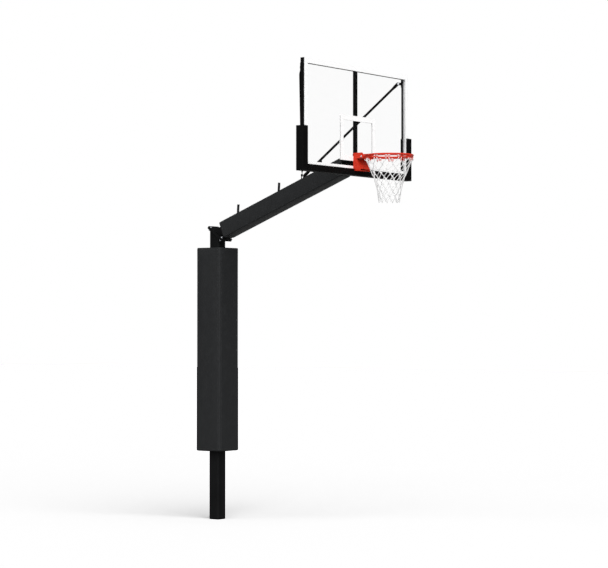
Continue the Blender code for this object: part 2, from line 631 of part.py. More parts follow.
def build_rim(pivot):
    """The ring, the carrier that joins it to the pivot, and the wire of net hooks."""
    centre = out_point(0, RIM["centre"], RIM_Z)
    middle = RIM["inside"] + RIM["rod"]
    ring = bmesh.new()
    round_ring(ring, lambda a: middle, lambda a: 0.0, RIM["rod"], 72, 12)
    place_under(add_object("rim_ring", ring, "rim_red", Matrix.Translation(centre)), pivot)

    tongue = 0.003
    carrier = add_object("rim_carrier", box_mesh(out_point(-0.070, 0.230, RIM_Z - tongue),
                                                 out_point(0.070, 0.026, RIM_Z + tongue)), "rim_red")
    inner = BRACKET["half"] - BRACKET["wall"] - 0.0008
    knuckle = add_object("carrier_knuckle", rod_mesh(PIVOT["tube"], 2 * inner, 24), None,
                         along(out_point(-inner, PIVOT["out"], PIVOT["z"]), (1, 0, 0)))
    boolean(carrier, knuckle, "UNION")
    for x in (-0.067, 0.061):
        gusset = [(0.098, RIM_Z), (0.230, RIM_Z), (0.230, RIM_Z - 0.020), (0.150, RIM_Z - 0.028),
                  (0.104, RIM_Z - 0.011)]
        shape = prism(gusset, lambda p, x=x: out_point(x, *p), lambda p, x=x: out_point(x + 0.006, *p))
        boolean(carrier, add_object(f"carrier_gusset_{x:.3f}", shape), "UNION")
    hook = box_mesh(out_point(-0.052, SPRING["out"] + 0.003, SPRING["high"] + 0.0005),
                    out_point(0.052, SPRING["out"] - 0.003, SPRING["high"] + 0.006))
    boolean(carrier, add_object("carrier_spring_bar", hook), "UNION")
    for x in (-0.052, 0.046):
        post = box_mesh(out_point(x, SPRING["out"] + 0.003, SPRING["high"] + 0.001),
                        out_point(x + 0.006, SPRING["out"] - 0.003, RIM_Z))
        boolean(carrier, add_object(f"carrier_post_{x:.3f}", post), "UNION")
    outside = rod_mesh(middle + RIM["rod"] + GAP, 0.2, 96)
    bmesh.ops.translate(outside, vec=(0, 0, -0.1), verts=outside.verts)
    boolean(carrier, add_object("cut_carrier_ring", outside, None, Matrix.Translation(centre)))
    drill(carrier, out_point(-0.2, PIVOT["out"], PIVOT["z"]), (1, 0, 0), PIVOT["radius"] + 0.0002, 0.4,
          "cut_knuckle_bore")
    place_under(carrier, pivot)

    high = RIM_Z - RIM["rod"] - HOOKS["wire"] - GAP
    swing = (high - HOOKS["low"]) / 2
    wire = bmesh.new()
    round_ring(wire, lambda a: middle, lambda a: swing * math.cos(HOOKS["count"] * a), HOOKS["wire"],
               12 * HOOKS["count"], 6)
    level = Matrix.Translation((centre.x, centre.y, (high + HOOKS["low"]) / 2))
    place_under(add_object("net_hook_wire", wire, "rim_red", level), pivot)


def round_ring(shape, radius_at, height_at, thickness, around, sides):
    """A closed rod that runs round Z, with its centre line at a radius and a height for each angle."""
    def centre(angle):
        radius = radius_at(angle)
        return Vector((radius * math.cos(angle), radius * math.sin(angle), height_at(angle)))

    loops = []
    for k in range(around):
        angle = 2 * math.pi * k / around
        tangent = (centre(angle + 0.001) - centre(angle - 0.001)).normalized()
        outward = Vector((math.cos(angle), math.sin(angle), 0))
        upward = outward.cross(tangent).normalized()
        turn = [2 * math.pi * s / sides for s in range(sides)]
        section = [math.cos(t) * outward + math.sin(t) * upward for t in turn]
        loops.append([shape.verts.new(centre(angle) + thickness * spoke) for spoke in section])
    for k in range(around):
        low, high = loops[k], loops[(k + 1) % around]
        for s in range(sides):
            t = (s + 1) % sides
            shape.faces.new((low[s], low[t], high[t], high[s]))


def build_springs():
    """Two extension springs that pull the carrier's tail down on to the stop."""
    for number, x in enumerate((-SPRING["x"], SPRING["x"]), 1):
        shape = bmesh.new()
        steps = 8 * SPRING["turns"]
        height = SPRING["high"] - SPRING["low"] - 2 * SPRING["wire"]
        loops = []
        for k in range(steps + 1):
            angle = 2 * math.pi * k / 8
            outward = Vector((math.cos(angle), math.sin(angle), 0))
            spot = SPRING["radius"] * outward + Vector((0, 0, SPRING["wire"] + height * k / steps))
            turn = [2 * math.pi * s / 6 for s in range(6)]
            lift = Vector((0, 0, 1))
            loops.append([shape.verts.new(spot + SPRING["wire"] * (math.cos(t) * outward + math.sin(t) * lift))
                          for t in turn])
        for low, high in zip(loops, loops[1:]):
            for s in range(6):
                t = (s + 1) % 6
                shape.faces.new((low[s], low[t], high[t], high[s]))
        shape.faces.new(loops[0])
        shape.faces.new(loops[-1])
        add_object(f"rim_spring_{number}", shape, "spring_steel",
                   Matrix.Translation(out_point(x, SPRING["out"], SPRING["low"])))


def build_net(pivot):
    """The net's envelope: a thin sleeve, open at both ends."""
    wall = NET["wall"]
    shape = bmesh.new()
    segments = 36
    outer = [(r, z) for z, r in NET["outline"]]
    inner = [(r - wall, z) for r, z in reversed(outer)]
    rings = []
    for radius, z in outer + inner:
        turn = [2 * math.pi * k / segments for k in range(segments)]
        rings.append([shape.verts.new((radius * math.cos(a), radius * math.sin(a), z - RIM_Z)) for a in turn])
    for low, high in zip(rings, rings[1:] + rings[:1]):
        for k in range(segments):
            j = (k + 1) % segments
            shape.faces.new((low[k], low[j], high[j], high[k]))
    place = Matrix.Translation(out_point(0, RIM["centre"], RIM_Z))
    place_under(add_object("net", shape, "net_cord", place), pivot)


def place_under(thing, parent):
    """Parents a piece without moving it."""
    bpy.context.view_layer.update()
    world = thing.matrix_world.copy()
    thing.parent = parent
    thing.matrix_parent_inverse = parent.matrix_world.inverted()
    thing.matrix_world = world


def main():
    clear_scene()
    build_pole()
    build_pole_pad()
    build_flange()
    build_arm()
    build_arm_pad()
    build_brace_lug()
    build_braces()
    build_board_brackets()
    frame_bottom = build_board_frame()
    glass, spacer = build_glass()
    channel = build_channel()
    build_edge_pad()
    bracket = build_rim_bracket()
    build_rim_bolts(bracket, glass, spacer, frame_bottom, channel)
    build_pivot()
    pivot = bpy.data.objects.new("rim_pivot_axis", None)
    bpy.context.collection.objects.link(pivot)
    pivot.location = out_point(0, PIVOT["out"], PIVOT["z"])
    bpy.context.view_layer.update()
    build_rim(pivot)
    build_springs()
    build_net(pivot)


main()
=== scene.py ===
import json
import math

import bmesh
import bpy
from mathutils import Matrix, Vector

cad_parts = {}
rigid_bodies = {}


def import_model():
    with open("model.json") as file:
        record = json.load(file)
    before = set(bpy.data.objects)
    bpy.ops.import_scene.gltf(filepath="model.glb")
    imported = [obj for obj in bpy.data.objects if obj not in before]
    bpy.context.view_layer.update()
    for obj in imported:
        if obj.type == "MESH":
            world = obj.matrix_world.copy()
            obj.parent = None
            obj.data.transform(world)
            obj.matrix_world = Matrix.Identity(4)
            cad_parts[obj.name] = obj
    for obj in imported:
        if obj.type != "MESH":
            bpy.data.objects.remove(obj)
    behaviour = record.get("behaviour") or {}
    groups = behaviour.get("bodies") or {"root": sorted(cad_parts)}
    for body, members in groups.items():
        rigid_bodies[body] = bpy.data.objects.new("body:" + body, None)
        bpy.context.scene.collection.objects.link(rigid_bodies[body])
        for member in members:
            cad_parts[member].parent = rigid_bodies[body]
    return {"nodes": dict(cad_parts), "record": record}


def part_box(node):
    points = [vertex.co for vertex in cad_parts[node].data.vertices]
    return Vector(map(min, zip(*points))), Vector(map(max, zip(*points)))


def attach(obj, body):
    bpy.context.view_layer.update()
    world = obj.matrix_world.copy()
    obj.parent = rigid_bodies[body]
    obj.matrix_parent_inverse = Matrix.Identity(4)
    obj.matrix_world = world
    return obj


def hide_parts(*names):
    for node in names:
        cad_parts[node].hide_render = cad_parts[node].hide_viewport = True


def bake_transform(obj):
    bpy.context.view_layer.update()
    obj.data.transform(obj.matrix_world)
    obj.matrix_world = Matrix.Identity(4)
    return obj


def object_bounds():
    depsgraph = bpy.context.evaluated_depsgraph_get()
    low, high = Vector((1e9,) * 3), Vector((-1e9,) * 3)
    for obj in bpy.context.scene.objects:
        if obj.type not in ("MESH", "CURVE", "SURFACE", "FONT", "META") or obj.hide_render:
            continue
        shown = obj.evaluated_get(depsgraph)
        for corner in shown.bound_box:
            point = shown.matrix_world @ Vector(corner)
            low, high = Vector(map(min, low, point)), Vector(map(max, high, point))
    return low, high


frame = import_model()
cadBox = [list(corner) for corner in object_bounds()]


# a shader socket that can be added, multiplied and compared

def plug(tree, socket, value):
    if isinstance(value, Signal):
        tree.links.new(value.socket, socket)
    elif isinstance(value, (tuple, list)) and socket.type == "RGBA" and len(value) == 3:
        socket.default_value = (*value, 1.0)
    else:
        socket.default_value = value


class Signal:
    def __init__(self, tree, socket):
        self.tree = tree
        self.socket = socket

    def maths(self, operation, *others):
        made = self.tree.nodes.new("ShaderNodeMath")
        made.operation = operation
        for slot, value in zip(made.inputs, others):
            plug(self.tree, slot, value)
        return Signal(self.tree, made.outputs[0])

    def __add__(self, other):
        return self.maths("ADD", self, other)

    def __radd__(self, other):
        return self.maths("ADD", other, self)

    def __sub__(self, other):
        return self.maths("SUBTRACT", self, other)

    def __rsub__(self, other):
        return self.maths("SUBTRACT", other, self)

    def __mul__(self, other):
        return self.maths("MULTIPLY", self, other)

    def __rmul__(self, other):
        return self.maths("MULTIPLY", other, self)

    def __truediv__(self, other):
        return self.maths("DIVIDE", self, other)

    def __lt__(self, other):
        return self.maths("LESS_THAN", self, other)

    def __gt__(self, other):
        return self.maths("GREATER_THAN", self, other)

    def __abs__(self):
        return self.maths("ABSOLUTE", self)

    def sine(self):
        return self.maths("SINE", self)

    def most(self, other):
        return self.maths("MAXIMUM", self, other)

    def clamped(self):
        made = self.maths("ADD", self, 0.0)
        made.socket.node.use_clamp = True
        return made


class Finish:
    def __init__(self, name):
        self.material = bpy.data.materials.new(name)
        self.material.use_nodes = True
        self.tree = self.material.node_tree
        self.tree.nodes.clear()

    def node(self, kind, settings=None, inputs=None, out=0):
        made = self.tree.nodes.new(kind)
        for key, value in (settings or {}).items():
            if key == "stops":
                setStops(made.color_ramp, value)
            else:
                setattr(made, key, value)
        for key, value in (inputs or {}).items():
            plug(self.tree, made.inputs[key], value)
        return Signal(self.tree, made.outputs[out])

    def place(self, scale=(1, 1, 1), turn=(0, 0, 0)):
        coords = self.node("ShaderNodeTexCoord", out="Object")
        return self.node("ShaderNodeMapping", None, {"Vector": coords, "Scale": scale, "Rotation": turn})

    def axes(self):
        split = self.node("ShaderNodeSeparateXYZ", None, {0: self.node("ShaderNodeTexCoord", out="Object")})
        return [Signal(self.tree, output) for output in split.socket.node.outputs]

    def noise(self, scale, detail=3.0, rough=0.5, vector=None):
        vector = vector or self.place()
        return self.node("ShaderNodeTexNoise", None,
                         {"Vector": vector, "Scale": scale, "Detail": detail, "Roughness": rough}, "Fac")

    def cells(self, scale, feature="F1", vector=None):
        vector = vector or self.place()
        return self.node("ShaderNodeTexVoronoi", {"feature": feature}, {"Vector": vector, "Scale": scale},
                         "Distance")

    def spread(self, value, low, high):
        return self.node("ShaderNodeMapRange", None, {"Value": value, "From Min": low, "From Max": high})

    def blend(self, factor, first, second):
        made = self.tree.nodes.new("ShaderNodeMix")
        made.data_type = "RGBA"
        for key, value in ((0, factor), (6, first), (7, second)):
            plug(self.tree, made.inputs[key], value)
        return Signal(self.tree, made.outputs[2])

    def bump(self, height, distance, strength=1.0, under=None):
        inputs = {"Height": height, "Distance": distance, "Strength": strength}
        if under:
            inputs["Normal"] = under
        return self.node("ShaderNodeBump", None, inputs)

    def done(self, shine=0.5, **inputs):
        # the keys are the shader's socket names with _ for a space; shine is its specular level
        named = {key.replace("_", " "): value for key, value in inputs.items()}
        shader = self.node("ShaderNodeBsdfPrincipled", None, {**named, "Specular IOR Level": shine})
        output = self.tree.nodes.new("ShaderNodeOutputMaterial")
        self.tree.links.new(shader.socket, output.inputs["Surface"])
        return self.material


def setStops(ramp, stops):
    while len(ramp.elements) < len(stops):
        ramp.elements.new(0.5)
    for element, (position, colour) in zip(ramp.elements, stops):
        element.position = position
        element.color = (*colour, 1.0)


coat = {"peelPerMetre": 420, "specksPerMetre": 1500, "peel": 0.00012, "speck": 0.00003}


def powderCoat(name, colour, dusty, rough, shine):
    look = Finish(name)
    peel = look.noise(coat["peelPerMetre"], 2.0)
    speck = look.noise(coat["specksPerMetre"], 2.0)
    cloud = look.spread(look.noise(5.0, 4.0), 0.35, 0.7)
    scuff = look.spread(look.noise(60.0, 6.0, 0.7, look.place((1, 1, 0.15))), 0.62, 0.8)
    tint = look.blend(cloud, colour, dusty)
    tint = look.blend(scuff * 0.35, tint, tuple(min(1.0, c * 1.6 + 0.01) for c in colour))
    normal = look.bump(speck, coat["speck"], 0.6, look.bump(peel, coat["peel"], 0.8))
    return look.done(shine, Base_Color=tint, Roughness=rough + cloud * 0.08 + scuff * 0.1 + speck * 0.05,
                     Normal=normal)


def zincPlate(name, colour):
    look = Finish(name)
    cloud = look.spread(look.noise(90.0, 5.0, 0.6), 0.35, 0.65)
    lines = look.noise(700.0, 2.0, 0.5, look.place((1, 1, 0.06)))
    tint = look.blend(cloud, colour, (colour[0] * 0.82, colour[1] * 0.84, colour[2] * 0.9))
    return look.done(Base_Color=tint, Metallic=1.0, Roughness=0.24 + cloud * 0.14 + lines * 0.08,
                     Normal=look.bump(lines, 0.00006, 0.7))


vinyl = {"grainPerMetre": 620, "scrimPerMetre": 900, "creasePerMetre": 9}


def padVinyl(name, colour):
    look = Finish(name)
    grain = look.cells(vinyl["grainPerMetre"], "SMOOTH_F1")
    fine = look.noise(vinyl["scrimPerMetre"] * 1.6, 3.0)
    crease = look.noise(vinyl["creasePerMetre"], 3.0, 0.55, look.place((1, 1, 0.45)))
    ripple = look.noise(34.0, 3.0, 0.6, look.place((1, 1, 0.6)))
    dust = look.spread(look.noise(14.0, 6.0, 0.65), 0.45, 0.75)
    tint = look.blend(dust * 0.6, colour, tuple(c * 1.35 + 0.002 for c in colour))
    tint = look.blend(grain * 0.5, tint, tuple(c * 0.72 for c in colour))
    normal = look.bump(crease, 0.010, 0.55)
    normal = look.bump(ripple, 0.0016, 0.5, normal)
    normal = look.bump(grain, 0.0005, 0.5, normal)
    normal = look.bump(fine, 0.0001, 0.5, normal)
    return look.done(0.12, Base_Color=tint, Roughness=0.46 + dust * 0.12 + grain * 0.10, Normal=normal)


def mouldedFoam(name, colour):
    look = Finish(name)
    pores = look.cells(1100.0, "F1")
    skin = look.noise(240.0, 4.0)
    rub = look.spread(look.noise(22.0, 6.0, 0.7, look.place((0.25, 1, 1))), 0.55, 0.8)
    tint = look.blend(rub * 0.5, colour, tuple(c * 2.2 + 0.004 for c in colour))
    normal = look.bump(pores, 0.0002, 0.5, look.bump(skin, 0.0004, 0.4))
    return look.done(0.06, Base_Color=tint, Roughness=0.5 + skin * 0.12 + rub * 0.1, Normal=normal)


def plainRubber(name, colour):
    look = Finish(name)
    skin = look.noise(500.0, 4.0)
    cloud = look.noise(16.0, 4.0)
    tint = look.blend(cloud, colour, tuple(c * 0.8 for c in colour))
    return look.done(Base_Color=tint, Roughness=0.55 + skin * 0.2, Normal=look.bump(skin, 0.0003, 0.5))


def twistedCord(name, colour, strands=3, pitch=0.013):
    look = Finish(name)
    along = look.node("ShaderNodeAttribute", {"attribute_name": "along"}, None, "Fac")
    across = look.node("ShaderNodeAttribute", {"attribute_name": "across"}, None, "Fac")
    layAndGrooveShade = ((along * (1 / pitch) + across * strands) * (2 * math.pi)).sine() * 0.5 + 0.5
    fuzz = look.noise(2600.0, 3.0)
    soil = look.spread(look.noise(12.0, 4.0), 0.4, 0.8)
    # painted shade: the grooves between the twisted strands are painted darker, where the same lay sinks them
    # in the bump
    tint = look.blend(layAndGrooveShade, tuple(c * 0.86 for c in colour), colour)
    tint = look.blend(soil * 0.15, tint, (0.86, 0.86, 0.85))
    normal = look.bump(fuzz, 0.0002, 0.4, look.bump(layAndGrooveShade, 0.0006, 0.5))
    return look.done(Base_Color=tint, Roughness=0.78 + fuzz * 0.15, Normal=normal)


def threadFinish(name, colour):
    look = Finish(name)
    fuzz = look.noise(3000.0, 2.0)
    tint = look.blend(fuzz, colour, tuple(c * 1.5 for c in colour))
    return look.done(Base_Color=tint, Roughness=0.65 + fuzz * 0.1, Normal=look.bump(fuzz, 0.0001, 0.5))


board = {"border": 0.0508, "targetWide": 0.6096, "targetTall": 0.4572, "line": 0.0508, "rimTop": 3.048,
         "clear": 0.018}


def printedGlass(name):
    look = Finish(name)
    low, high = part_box("glass_panel")
    x, y, z = look.axes()
    half = (high.x - low.x) / 2
    middle = (high.z + low.z) / 2
    tall = (high.z - low.z) / 2
    border = (abs(x) > half - board["border"]).most(abs(z - middle) > tall - board["border"])
    targetLow = board["rimTop"] - board["line"]
    targetMiddle = targetLow + board["targetTall"] / 2
    outside = (abs(x) < board["targetWide"] / 2) * (abs(z - targetMiddle) < board["targetTall"] / 2)
    inside = (abs(x) < board["targetWide"] / 2 - board["line"]) * (
        abs(z - targetMiddle) < board["targetTall"] / 2 - board["line"])
    ink = border.most(outside * (1 - inside))
    edge = (abs(x) > half - 0.0006).most(abs(z - middle) > tall - 0.0006) * (y > low.y + 0.0022)
    smear = look.spread(look.noise(7.0, 5.0, 0.6, look.place((1, 1, 2.5))), 0.4, 0.8)
    grain = look.noise(900.0, 2.0)
    tint = look.blend(ink, (0.03, 0.04, 0.037), look.blend(grain, (0.97, 0.97, 0.97), (0.94, 0.94, 0.94)))
    tint = look.blend(edge, tint, (0.006, 0.006, 0.006))
    alpha = (ink.most(edge) + board["clear"] + smear * 0.006).clamped()
    return look.done(Base_Color=tint, Roughness=0.04 + ink * 0.3 + smear * 0.03, Alpha=alpha, IOR=1.5)


print("finishes")
poleBlack = powderCoat("poleBlack", (0.0042, 0.0043, 0.0046), (0.0060, 0.0061, 0.0064), 0.40, 0.05)
frameBlack = powderCoat("frameBlack", (0.0026, 0.0026, 0.0027), (0.0040, 0.0040, 0.0042), 0.45, 0.03)
rimRed = powderCoat("rimRed", (0.56, 0.030, 0.012), (0.52, 0.028, 0.012), 0.36, 0.14)
zinc = zincPlate("brightZinc", (0.72, 0.73, 0.75))
springSteel = zincPlate("springSteel", (0.52, 0.52, 0.54))
padGrey = padVinyl("padVinyl", (0.0150, 0.0158, 0.0166))
edgeBlack = mouldedFoam("edgeFoam", (0.0016, 0.0016, 0.0017))
spacerGrey = plainRubber("spacerRubber", (0.37, 0.37, 0.38))
stopBlack = plainRubber("stopRubber", (0.02, 0.02, 0.02))
glassPrint = printedGlass("printedGlass")
netWhite = twistedCord("netCord", (0.80, 0.80, 0.80))
seamThread = threadFinish("seamThread", (0.050, 0.052, 0.055))
threadSteel = zincPlate("threadSteel", (0.60, 0.61, 0.63))

finishOfSlot = {"pole_steel": poleBlack, "frame_steel": frameBlack, "zinc": zinc, "pad_vinyl": padGrey,
                "glass": glassPrint, "spacer": spacerGrey, "edge_foam": edgeBlack, "rim_red": rimRed,
                "stop_rubber": stopBlack, "spring_steel": springSteel, "net_cord": netWhite}
slotOfNode = {row["node"]: row["material_slot"] for row in frame["record"]["subparts"]}
bodyOfNode = {node: body for body, nodes in frame["record"]["behaviour"]["bodies"].items() for node in nodes}


def meshObject(name, shape, finish, body, replaced=(), smooth=35):
    bmesh.ops.recalc_face_normals(shape, faces=shape.faces)
    mesh = bpy.data.meshes.new(name)
    shape.to_mesh(mesh)
    shape.free()
    piece = bpy.data.objects.new(name, mesh)
    bpy.context.collection.objects.link(piece)
    mesh.materials.append(finish)
    mesh.shade_smooth()
    mesh.set_sharp_from_angle(angle=math.radians(smooth))
    return settle(piece, body, replaced)


def settle(piece, body, replaced=()):
    if body:  # a piece that bends between two bodies rides on neither
        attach(piece, body)
    if replaced:
        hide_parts(*replaced)
    return piece


def subdivide(piece, levels=1):
    added = piece.modifiers.new("Subdivision", "SUBSURF")
    added.levels = levels
    added.render_levels = levels
    return piece


class Tree:
    def __init__(self, name, inputs):
        self.tree = bpy.data.node_groups.new(name, "GeometryNodeTree")
        self.ids = {}
        face = self.tree.interface
        face.new_socket("Geometry", in_out="OUTPUT", socket_type="NodeSocketGeometry")
        face.new_socket("Geometry", in_out="INPUT", socket_type="NodeSocketGeometry")
        for label, kind in inputs.items():
            socket = face.new_socket(label, in_out="INPUT", socket_type="NodeSocket" + kind)
            self.ids[label] = socket.identifier
        self.start = self.tree.nodes.new("NodeGroupInput")
        self.stop = self.tree.nodes.new("NodeGroupOutput")

    def given(self, label):
        return self.start.outputs[label]

    def node(self, kind, settings=None, inputs=None):
        made = self.tree.nodes.new(kind)
        for key, value in (settings or {}).items():
            setattr(made, key, value)
        for key, value in (inputs or {}).items():
            if isinstance(value, bpy.types.NodeSocket):
                self.tree.links.new(value, made.inputs[key])
            else:
                made.inputs[key].default_value = value
        return made

    def finish(self, geometry):
        real = self.node("GeometryNodeRealizeInstances", None, {0: geometry})
        painted = self.node("GeometryNodeSetMaterial", None,
                            {0: real.outputs[0], "Material": self.given("Material")})
        self.tree.links.new(painted.outputs[0], self.stop.inputs[0])


def runTree(made, name, guide, values, body, replaced=(), smooth=50):
    # guide is a mesh of points and edges; the tree's result becomes a plain mesh
    holder = bpy.data.objects.new(name + "Guide", guide)
    bpy.context.collection.objects.link(holder)
    added = holder.modifiers.new("Nodes", "NODES")
    added.node_group = made.tree
    for label, value in values.items():
        added[made.ids[label]] = value
    bpy.context.view_layer.update()
    graph = bpy.context.evaluated_depsgraph_get()
    mesh = bpy.data.meshes.new_from_object(holder.evaluated_get(graph), depsgraph=graph)
    bpy.data.objects.remove(holder, do_unlink=True)
    mesh.name = name
    if not mesh.materials:
        mesh.materials.append(values["Material"])
    piece = bpy.data.objects.new(name, mesh)
    bpy.context.collection.objects.link(piece)
    mesh.shade_smooth()
    mesh.set_sharp_from_angle(angle=math.radians(smooth))
    return settle(piece, body, replaced)


def guideMesh(name, lines):
    # each line is (points, closed)
    verts = []
    edges = []
    for points, closed in lines:
        first = len(verts)
        verts += [tuple(p) for p in points]
        edges += [(first + i, first + i + 1) for i in range(len(points) - 1)]
        if closed:
            edges.append((first + len(points) - 1, first))
    mesh = bpy.data.meshes.new(name)
    mesh.from_pydata(verts, edges, [])
    return mesh


def makeRowTree():
    # a stamp, stretched along the line, at even steps: stitches and weld ripples
    made = Tree("rowOfStamps", {"Step": "Float", "Long": "Float", "Wide": "Float", "Material": "Material"})
    curve = made.node("GeometryNodeMeshToCurve", None, {0: made.given("Geometry")})
    points = made.node("GeometryNodeCurveToPoints", {"mode": "LENGTH"},
                       {0: curve.outputs[0], "Length": made.given("Step")})
    ball = made.node("GeometryNodeMeshUVSphere", None, {"Segments": 6, "Rings": 4, "Radius": 0.5})
    size = made.node("ShaderNodeCombineXYZ", None,
                     {0: made.given("Wide"), 1: made.given("Wide"), 2: made.given("Long")})
    stamped = made.node("GeometryNodeInstanceOnPoints", None,
                        {"Points": points.outputs["Points"], "Instance": ball.outputs[0],
                         "Rotation": points.outputs["Rotation"], "Scale": size.outputs[0]})
    made.finish(stamped.outputs[0])
    return made


def makeRopeTree():
    # a round rod along the line, copied round an upright axis through Centre
    made = Tree("ropeRoundAxis", {"Radius": "Float", "Sides": "Int", "Copies": "Int", "Centre": "Vector",
                                  "Step": "Float", "Material": "Material"})
    curve = made.node("GeometryNodeMeshToCurve", None, {0: made.given("Geometry")})
    even = made.node("GeometryNodeResampleCurve", None, {0: curve.outputs[0]})
    even.mode = "LENGTH"
    made.tree.links.new(made.given("Step"), even.inputs["Length"])
    place = made.node("GeometryNodeSplineParameter")
    marked = made.node("GeometryNodeStoreNamedAttribute", {"data_type": "FLOAT", "domain": "POINT"},
                       {"Geometry": even.outputs[0], "Name": "along", "Value": place.outputs["Length"]})
    ring = made.node("GeometryNodeCurvePrimitiveCircle", None,
                     {"Resolution": made.given("Sides"), "Radius": made.given("Radius")})
    turn = made.node("GeometryNodeSplineParameter")
    ringMarked = made.node("GeometryNodeStoreNamedAttribute", {"data_type": "FLOAT", "domain": "POINT"},
                           {"Geometry": ring.outputs[0], "Name": "across", "Value": turn.outputs["Factor"]})
    rod = made.node("GeometryNodeCurveToMesh", None,
                    {"Curve": marked.outputs[0], "Profile Curve": ringMarked.outputs[0], "Fill Caps": True})
    spots = made.node("GeometryNodePoints", None,
                      {"Count": made.given("Copies"), "Position": made.given("Centre")})
    number = made.node("GeometryNodeInputIndex")
    share = made.node("ShaderNodeMath", {"operation": "DIVIDE"},
                      {0: number.outputs[0], 1: made.given("Copies")})
    angle = made.node("ShaderNodeMath", {"operation": "MULTIPLY"}, {0: share.outputs[0], 1: 2 * math.pi})
    spin = made.node("ShaderNodeCombineXYZ", None, {2: angle.outputs[0]})
    copies = made.node("GeometryNodeInstanceOnPoints", None,
                       {"Points": spots.outputs[0], "Instance": rod.outputs[0], "Rotation": spin.outputs[0]})
    made.finish(copies.outputs[0])
    return made


rowTree = makeRowTree()
ropeTree = makeRopeTree()


def stampRow(name, lines, step, long, wide, finish, body):
    values = {"Step": step, "Long": long, "Wide": wide, "Material": finish}
    return runTree(rowTree, name, guideMesh(name, lines), values, body)


def rope(name, lines, radius, step, finish, body, copies=1, centre=(0, 0, 0), sides=10, replaced=()):
    values = {"Radius": radius, "Sides": sides, "Copies": copies, "Centre": centre, "Step": step,
              "Material": finish}
    return runTree(ropeTree, name, guideMesh(name, lines), values, body, replaced)


def refined(node, width=0.0012):
    source = frame["nodes"][node]
    shape = bmesh.new()
    shape.from_mesh(source.data)
    bmesh.ops.remove_doubles(shape, verts=shape.verts, dist=0.00002)
    bmesh.ops.dissolve_limit(shape, angle_limit=math.radians(0.6), verts=shape.verts, edges=shape.edges)
    name = node + "_fine"
    mesh = bpy.data.meshes.new(name)
    shape.to_mesh(mesh)
    shape.free()
    piece = bpy.data.objects.new(name, mesh)
    bpy.context.collection.objects.link(piece)
    mesh.materials.clear()
    mesh.materials.append(finishOfSlot[slotOfNode[node]])
    mesh.shade_smooth()
    mesh.set_sharp_from_angle(angle=math.radians(40))
    if width:
        added = piece.modifiers.new("Bevel", "BEVEL")
        added.width = width
        added.segments = 2
        added.limit_method = "ANGLE"
        added.angle_limit = math.radians(40)
        added.use_clamp_overlap = True
        added.harden_normals = False
    return settle(piece, bodyOfNode[node], [node])


edgeWidth = {"pole": 0.0008, "pole_foot_plate": 0.001, "pole_flange_plate": 0.0016, "arm_flange_plate": 0.0016,
             "arm": 0.0008, "arm_head_plate": 0.001, "cross_channel": 0.001, "brace_lug": 0.001,
             "rim_bracket": 0.001, "rim_spring_cover": 0.001, "rim_spring_shelf": 0.0008, "rim_carrier": 0.0008,
             "rim_backing_plate": 0.001, "board_bracket_left": 0.001, "board_bracket_right": 0.001}
remade = {"pole_pad", "arm_pad", "arm_pad_tab_1", "arm_pad_tab_2", "arm_pad_tab_3", "board_edge_pad",
          "rim_ring", "net_hook_wire", "rim_spring_1", "rim_spring_2", "net", "glass_panel"}

for node in frame["nodes"]:
    if node not in remade:
        refined(node, edgeWidth.get(node, 0.0005))
frame["nodes"]["glass_panel"].data.materials.clear()
frame["nodes"]["glass_panel"].data.materials.append(glassPrint)
print("hard pieces")


def roundedSquare(side, corner, across, arc):
    # points and an index list of the corners' middles, anticlockwise
    reach = side / 2 - corner
    points = []
    seams = []
    for quarter, (sx, sy) in enumerate(((1, 1), (-1, 1), (-1, -1), (1, -1))):
        for step in range(arc + 1):
            angle = math.pi / 2 * (quarter + step / arc)
            if step * 2 == arc:
                seams.append(len(points))
            points.append(Vector((sx * reach + corner * math.cos(angle),
                                  sy * reach + corner * math.sin(angle))))
        nx, ny = ((-1, 1), (-1, -1), (1, -1), (1, 1))[quarter]
        end = Vector((nx * reach, ny * reach)) + corner * Vector(((0, 1), (-1, 0), (0, -1), (1, 0))[quarter])
        begin = points[-1].copy()
        points += [begin.lerp(end, k / across) for k in range(1, across)]
    return points, seams


def padShell(outer, inner, spot, rows, roll):
    # spot(point, t) gives the place of a section point at t from 0 to 1 along the pad; roll is the ends'
    # rounding as a share of the length. Returns the shape and, for each point, whether it is held.
    rings = []
    for k in range(rows + 1):
        rings.append((roll + (1 - 2 * roll) * k / rows, 1.0, False))
    rings += [(1 - roll * 0.35, 0.985, False), (1.0, 0.93, False), (1.0, 0.6, False), (1.0, 0.25, True),
              (0.995, 0.0, True)]
    rings += [(t, 0.0, True) for t in (0.8, 0.6, 0.4, 0.2, 0.005)]
    rings += [(0.0, 0.25, True), (0.0, 0.6, False), (0.0, 0.93, False), (roll * 0.35, 0.985, False)]
    shape = bmesh.new()
    loops = [[shape.verts.new(spot(a.lerp(b, share), t)) for a, b in zip(inner, outer)]
             for t, share, held in rings]
    for low, high in zip(loops, loops[1:] + loops[:1]):
        for i in range(len(outer)):
            j = (i + 1) % len(outer)
            shape.faces.new((low[i], low[j], high[j], high[i]))
    held = [flag for t, share, flag in rings for _ in outer]
    return shape, held


